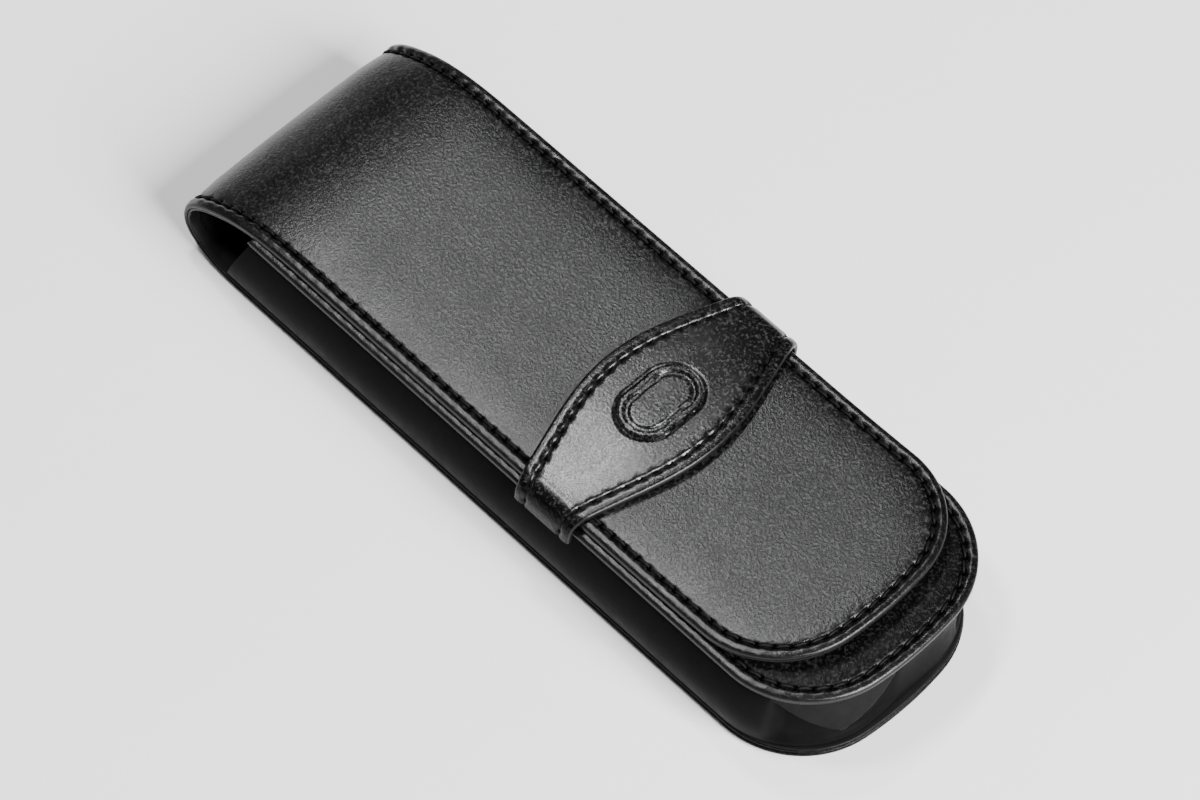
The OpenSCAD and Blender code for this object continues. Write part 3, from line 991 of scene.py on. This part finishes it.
def arch_path():
    """Outer face of the band from its near seam over the flap to its far seam: y, z, normal.
    It arches over the flap: highest in the middle, and rounded down at its two sides."""
    y = np.linspace(-1, 1, 1201) * BAND_OUT
    arch = BAND_TOP + 0.3 - BAND_ARCH * (np.abs(y) / 27) ** 2.2
    t = np.clip((np.abs(y) - BAND_OUT + BAND_CORNER) / BAND_CORNER, 0, 1)
    z = arch - BAND_CORNER * (1 - np.sqrt(1 - t * t))
    y = np.concatenate([[-BAND_OUT], y, [BAND_OUT]])
    z = np.concatenate([[BAND_SEAM], z, [BAND_SEAM]])
    run = np.concatenate([[0], np.cumsum(np.hypot(np.diff(y), np.diff(z)))])
    even = np.linspace(0, run[-1], int(run[-1] / BAND_STEP))
    y, z = np.interp(even, run, y), np.interp(even, run, z)
    dy, dz = np.gradient(y), np.gradient(z)
    size = np.hypot(dy, dz)
    return np.stack([y, z, -dz / size, dy / size], 1)


def band_edge(y):
    """Half length of the band along X at y: wide over the middle, narrow at the sides."""
    t = np.clip(np.abs(y) / (BAND_OUT - 0.5), 0, 1)
    swell = 0.5 * (1 + np.cos(math.pi * t)) * 0.4 + (1 - t * t) * 0.6
    return BAND_SIDE / 2 + (BAND_MID - BAND_SIDE) / 2 * swell


def emblem(x, y):
    """A plain raised field with a rim: two round ends joined by straight sides."""
    d = np.hypot(x - BAND_X, np.maximum(np.abs(y) - EMBLEM_RUN, 0)) - EMBLEM_R
    rim = 0.4 * smooth_step((0.12 - d) / 0.24) * smooth_step((d + 1.15) / 0.3)
    groove = -0.42 * smooth_step((d + 0.1) / 0.24) * smooth_step((1.1 - d) / 0.9)
    field = -0.16 * smooth_step((-d - 0.95) / 0.25) + 0.3 * smooth_step((-d - 1.9) / 0.35)
    return rim + groove + field


def band():
    """The retaining band: leather with two sewn, bellied edges, its lining and threads."""
    arch = arch_path()
    run = np.concatenate([[0], np.cumsum(np.linalg.norm(np.diff(arch[:, :2], axis=0), axis=1))])
    run -= run[-1] / 2
    y = arch[:, 0]
    half = band_edge(y)
    slope = np.gradient(half, run)
    stretch = np.sqrt(1 + slope ** 2)
    edges = []
    for side in (-1, 1):
        line = BAND_X + side * (half - ROW * stretch)
        length = np.concatenate([[0], np.cumsum(np.hypot(np.diff(line), np.diff(run)))])
        length -= length[-1] / 2
        edges.append((line, length))
    c = np.cos(2 * math.pi * edges[0][1] / PITCH)[:, None]

    def layer(ds, top, bottom, inset):
        inner = np.linspace(-1, 1, 84)[1:-1]
        rings = []
        for d in ds:
            rings.append((BAND_X - half + (d + inset) * stretch, d))
        rim = half - (ds[-1] + inset) * stretch
        for f in inner:
            rings.append((BAND_X + f * rim, None))
        for d in ds[::-1]:
            rings.append((BAND_X + half - (d + inset) * stretch, d))
        x = np.stack([r[0] for r in rings], 1)
        d = np.minimum(half[:, None] - np.abs(x - BAND_X), 99) / stretch[:, None] - inset
        yy = np.broadcast_to(y[:, None], x.shape)
        sides = []
        for h in (top(d, x, yy), bottom(d, x, yy)):
            sides.append(np.stack([x, arch[:, 0:1] + arch[:, 2:3] * h,
                                   arch[:, 1:2] + arch[:, 3:4] * h], -1))
        faces_d = np.concatenate([d, d[:, ::-1]], 1)
        verts, faces = closed_section(np.concatenate([sides[0], sides[1][:, ::-1]], 1))
        return verts, faces, faces_d

    def top(d, x, yy):
        return (band_height(np.clip(d, 0, None), c) + emblem(x, yy)
                + 0.05 * waves(x * 2, yy * 2, 4) * smooth_step((d - 4) / 3))

    def under(d, x, yy):
        return -BAND_T + rounding(np.clip(d, 0, None), 0.4)

    def lining_over(d, x, yy):
        return -BAND_T - 0.01 + 0 * d

    def lining_under(d, x, yy):
        return -BAND_T - BAND_LINING_T + rounding(np.clip(d, 0, None), 0.25)

    verts, faces, depth = layer(EDGE_RINGS, top, under, 0)
    lowest = verts[faces][..., 2].min(1)
    # The band's legs, below BAND_TOP - 2.4, take the darker painted-shade copy of the leather.
    kinds = np.where(lowest < BAND_TOP - 2.4, 2, 0)
    kinds[rim_faces(faces, depth)] = 1
    kinds[hole_faces(faces, depth, edges[0][1] / PITCH, 0.3, 0.45, 0.1)] = 3
    leather = make_piece("band_leather_skin", verts, faces, [POLISHED, EDGE, SHADED_SIDE_LEATHER, HOLE_SHADE_LEATHER],
                         kinds=kinds)
    verts, faces, depth = layer(PLAIN_RINGS, lining_over, lining_under, 0.5)
    lining = make_piece("band_lining_skin", verts, faces, [LINING])
    pieces = [(leather, "band_leather", "leather"), (lining, "band_lining", "lining")]
    for (line, length), word in zip(edges, ("upper", "lower")):
        places = []
        whole = np.arange(math.ceil(length[1] / PITCH), math.floor(length[-2] / PITCH) + 1)
        for n in whole:
            k = np.interp(n * PITCH, length, np.arange(len(length)))

            def point(kk, h=0.0):
                px = np.interp(kk, np.arange(len(line)), line)
                ay, az, ny, nz = (np.interp(kk, np.arange(len(line)), arch[:, j]) for j in range(4))
                return np.array([px, ay + ny * h, az + nz * h])
            up = unit(point(k, 1) - point(k))
            along = unit(point(k + 0.3) - point(k - 0.3))
            places.append((point(k, BAND_THREAD_H), along, np.cross(up, along), up))
        thread = stitches_piece(f"band_stitches_{word}", places)
        pieces.append((thread, f"band_thread_{word}", "thread"))
    for piece, node, slot_name in pieces:
        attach(piece, "root")
        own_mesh(piece)
        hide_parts(node)


strip_pieces()
strip_boards()
front_panel()
gusset()
divider()
band()

# ---------------------------------------------------------------- floor and lights


def floor():
    mesh = bpy.data.meshes.new("floor")
    mesh.from_pydata([(-3, -3, 0), (3, -3, 0), (3, 3, 0), (-3, 3, 0)], [], [(0, 1, 2, 3)])
    n = Nodes("pale_floor")
    fine = n.noise(30, 2.0, 0.5)
    n.ramp(fine, (0.9, 0.9, 0.9), (0.93, 0.93, 0.93))
    n.finish(Roughness=0.9, Specular_IOR_Level=0.1)
    mesh.materials.append(n.mat)
    piece = bpy.data.objects.new("floor", mesh)
    bpy.context.scene.collection.objects.link(piece)


def softbox(name, azimuth, elevation, distance, size, power):
    """A soft light that faces the case. Azimuth 0 is behind it along +Y, 90 is at +X."""
    a, e = math.radians(azimuth), math.radians(elevation)
    way = Vector((math.sin(a) * math.cos(e), math.cos(a) * math.cos(e), math.sin(e)))
    light = bpy.data.lights.new(name, "AREA")
    light.shape = "RECTANGLE"
    light.size, light.size_y = size
    light.energy = power
    lamp = bpy.data.objects.new(name, light)
    bpy.context.scene.collection.objects.link(lamp)
    lamp.location = centre + way * distance
    lamp.rotation_mode = "QUATERNION"
    lamp.rotation_quaternion = (-way).to_track_quat("-Z", "Y")


world = bpy.data.worlds.new("studio")
bpy.context.scene.world = world
world.use_nodes = True
world.node_tree.nodes["Background"].inputs["Color"].default_value = (1, 1, 1, 1)
world.node_tree.nodes["Background"].inputs["Strength"].default_value = 0.08
floor()
softbox("key_light", -116, 71, 1.2, (0.2, 0.2), 7.5)
softbox("spot_light", -61, 64, 1.2, (0.12, 0.12), 4.7)
softbox("right_light", 88, 33, 1.3, (0.7, 0.7), 60)
